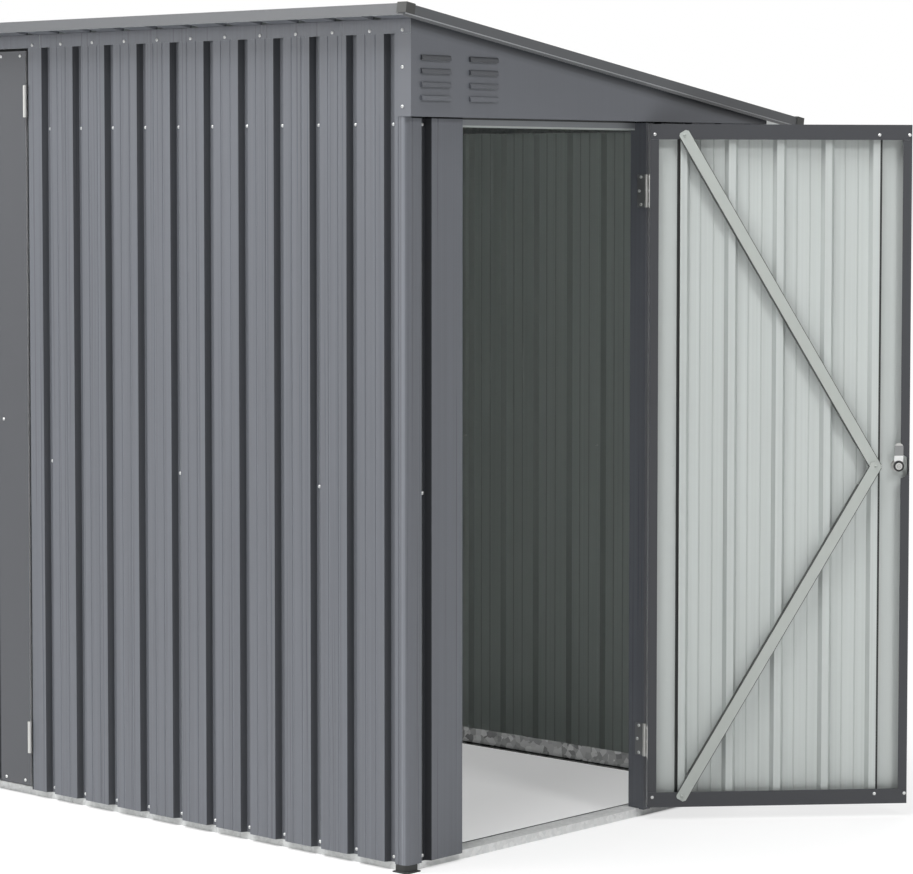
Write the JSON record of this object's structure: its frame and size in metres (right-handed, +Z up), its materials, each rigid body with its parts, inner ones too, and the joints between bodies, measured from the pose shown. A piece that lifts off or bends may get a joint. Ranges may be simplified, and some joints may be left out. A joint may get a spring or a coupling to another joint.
{
  "type": "lean-to metal storage shed",
  "caption": "Lean-to shed of grooved grey steel sheet on a galvanised base frame, with a sloping ribbed roof, louvred gables, hinged front doors and a hinged side door.",
  "frame": {"origin": "at ground level, in the middle of the lip under the front base rail", "axes": "+X along the front wall to the side with the side door, +Y from the front to the rear, +Z up"},
  "size_m": [3.4793, 1.4794, 1.9619],
  "materials": {
    "grey_sheet": "satin grey paint outside, off-white back coat inside",
    "frame_grey": "satin dark grey paint",
    "galvanised": "hot-dip galvanised with spangle",
    "bright_zinc": "zinc plated",
    "black_plastic": "fine matt texture",
    "brace_paint": "satin light grey paint"
  },
  "bodies": {
    "shell": {"front_wall_panels": "grey_sheet", "corner_panel_front_right": "grey_sheet", "corner_panel_front_left": "grey_sheet", "corner_panel_rear_right": "grey_sheet", "corner_panel_rear_left": "grey_sheet", "left_wall_panels": "grey_sheet", "rear_wall_panels": "grey_sheet", "front_jamb_right": "grey_sheet", "front_jamb_left": "grey_sheet", "side_jamb": "grey_sheet", "side_hinge_post": "grey_sheet", "front_fascia": "grey_sheet", "rear_fascia": "grey_sheet", "gable_right": "grey_sheet", "gable_left": "grey_sheet", "roof_panels": "grey_sheet", "roof_trim_front": "grey_sheet", "roof_trim_rear": "grey_sheet", "verge_trim_right": "grey_sheet", "verge_trim_left": "grey_sheet", "base_rail_front": "galvanised", "base_rail_rear": "galvanised", "base_rail_left": "galvanised", "base_rail_right": "galvanised", "front_inner_rail": "galvanised", "front_top_rail": "galvanised", "left_top_rail": "galvanised", "rear_top_rail": "galvanised", "roof_purlin": "galvanised", "side_lintel": "frame_grey", "front_header": "frame_grey", "corner_feet": "black_plastic", "roof_corner_caps": "black_plastic", "fixed_hinges": "bright_zinc"},
    "side_door": {"side_door_frame": "frame_grey", "side_door_sheet": "grey_sheet", "side_door_brace": "brace_paint", "side_door_lock": "bright_zinc", "side_door_hinges": "bright_zinc"},
    "front_right_door": {"front_right_frame": "frame_grey", "front_right_sheet": "grey_sheet", "front_right_brace": "brace_paint", "front_right_lock": "bright_zinc", "front_right_hinges": "bright_zinc"},
    "front_left_door": {"front_left_frame": "frame_grey", "front_left_sheet": "grey_sheet", "front_left_brace": "brace_paint", "front_left_hinges": "bright_zinc"}
  },
  "joints": [
    {"name": "side_door_hinge", "type": "hinge", "parent": "shell", "child": "side_door", "pos_m": [1.4878, 0.81745, 0.9], "axis": [0, 0, 1], "range_deg": [-137, 28]},
    {"name": "front_right_door_hinge", "type": "hinge", "parent": "shell", "child": "front_right_door", "pos_m": [0.16425, -0.0286, 0.9], "axis": [0, 0, 1], "range_deg": [0, 165]},
    {"name": "front_left_door_hinge", "type": "hinge", "parent": "shell", "child": "front_left_door", "pos_m": [-1.29425, -0.0286, 0.9], "axis": [0, 0, -1], "range_deg": [0, 165]}
  ]
}
